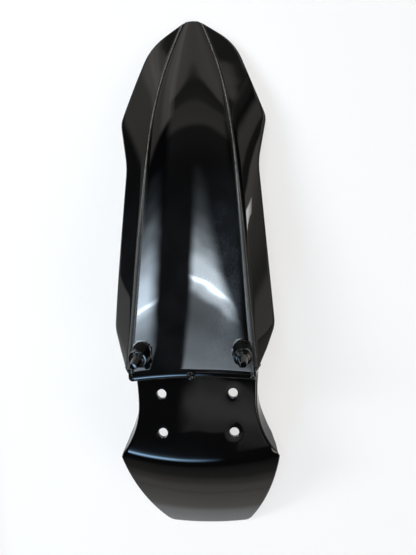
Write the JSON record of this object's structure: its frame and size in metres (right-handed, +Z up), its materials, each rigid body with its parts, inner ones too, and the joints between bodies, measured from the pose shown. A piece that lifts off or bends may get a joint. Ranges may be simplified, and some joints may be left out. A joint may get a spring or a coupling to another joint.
{
  "type": "motorcycle front fender",
  "caption": "High front fender for a dirt bike: a pointed channelled shell, a stepped bolt-on plate with side flanges and a drooping rear flap, in gloss black plastic.",
  "frame": {"origin": "middle of the bolt pattern, on the upper face of the mounting plate", "axes": "+Y forward along the length to the pointed tip, +Z up out of the plate, +X to the rider's right"},
  "size_m": [0.187, 0.646, 0.1449],
  "materials": {
    "black_plastic": "gloss"
  },
  "bodies": {
    "root": {"fender": "black_plastic"}
  },
  "joints": []
}
